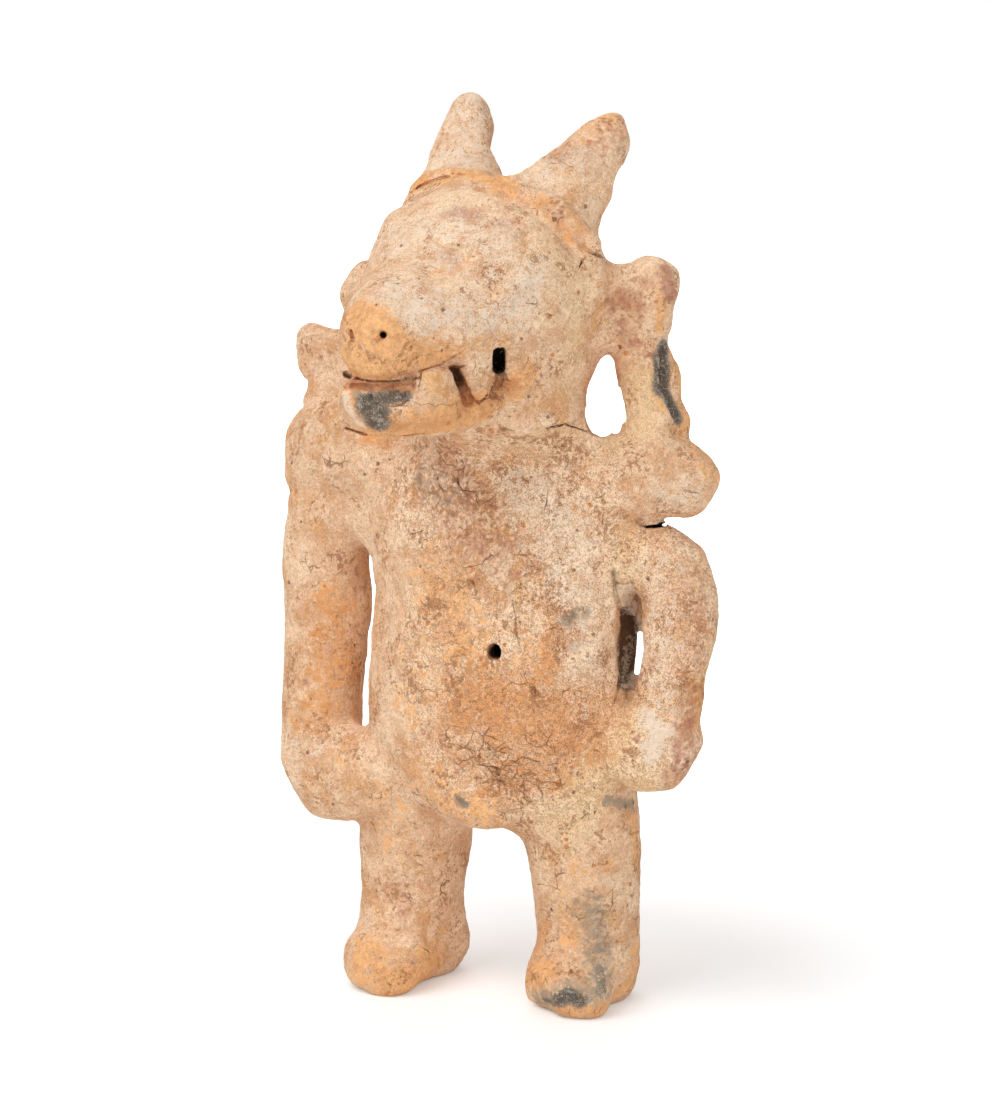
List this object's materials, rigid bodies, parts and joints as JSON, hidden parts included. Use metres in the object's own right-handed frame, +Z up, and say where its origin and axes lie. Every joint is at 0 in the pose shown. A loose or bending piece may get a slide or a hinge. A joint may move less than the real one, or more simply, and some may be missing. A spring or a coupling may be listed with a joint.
{
  "type": "zoomorphic ocarina",
  "caption": "Hand-built clay ocarina in the shape of a standing, horned, fanged animal figure with arms akimbo; the hollow body is the sounding chamber.",
  "frame": {"origin": "on the ground, under the middle of the bounding box, with both soles on Z = 0", "axes": "+Z up along the figure, -Y towards its front, +X towards its own left side"},
  "size_m": [0.1152, 0.087, 0.2156],
  "materials": {
    "buff_slip": "matt, pitted, weathered",
    "bare_clay": "matt, worn through to the orange clay",
    "pale_crust": "matt, with a pale mineral crust"
  },
  "bodies": {
    "root": {"torso_front_shell": "buff_slip", "torso_back_shell": "buff_slip", "labium": "bare_clay", "mouthpiece": "buff_slip", "groin_lump": "bare_clay", "neck_collar": "buff_slip", "head_shell": "buff_slip", "upper_jaw": "bare_clay", "lower_jaw": "bare_clay", "tongue": "bare_clay", "crown_band": "pale_crust", "upper_fang_left": "pale_crust", "upper_fang_right": "pale_crust", "lower_fang_left": "pale_crust", "lower_fang_right": "pale_crust", "horn_left": "pale_crust", "horn_right": "pale_crust", "ear_plate_left": "buff_slip", "ear_plate_right": "buff_slip", "ear_strut_left": "buff_slip", "ear_strut_right": "buff_slip", "ear_knob_right": "buff_slip", "shoulder_lobe_left": "buff_slip", "shoulder_lobe_right": "buff_slip", "arm_left": "buff_slip", "arm_right": "buff_slip", "leg_left": "buff_slip", "leg_right": "buff_slip", "foot_left": "bare_clay", "foot_right": "bare_clay"}
  },
  "joints": []
}
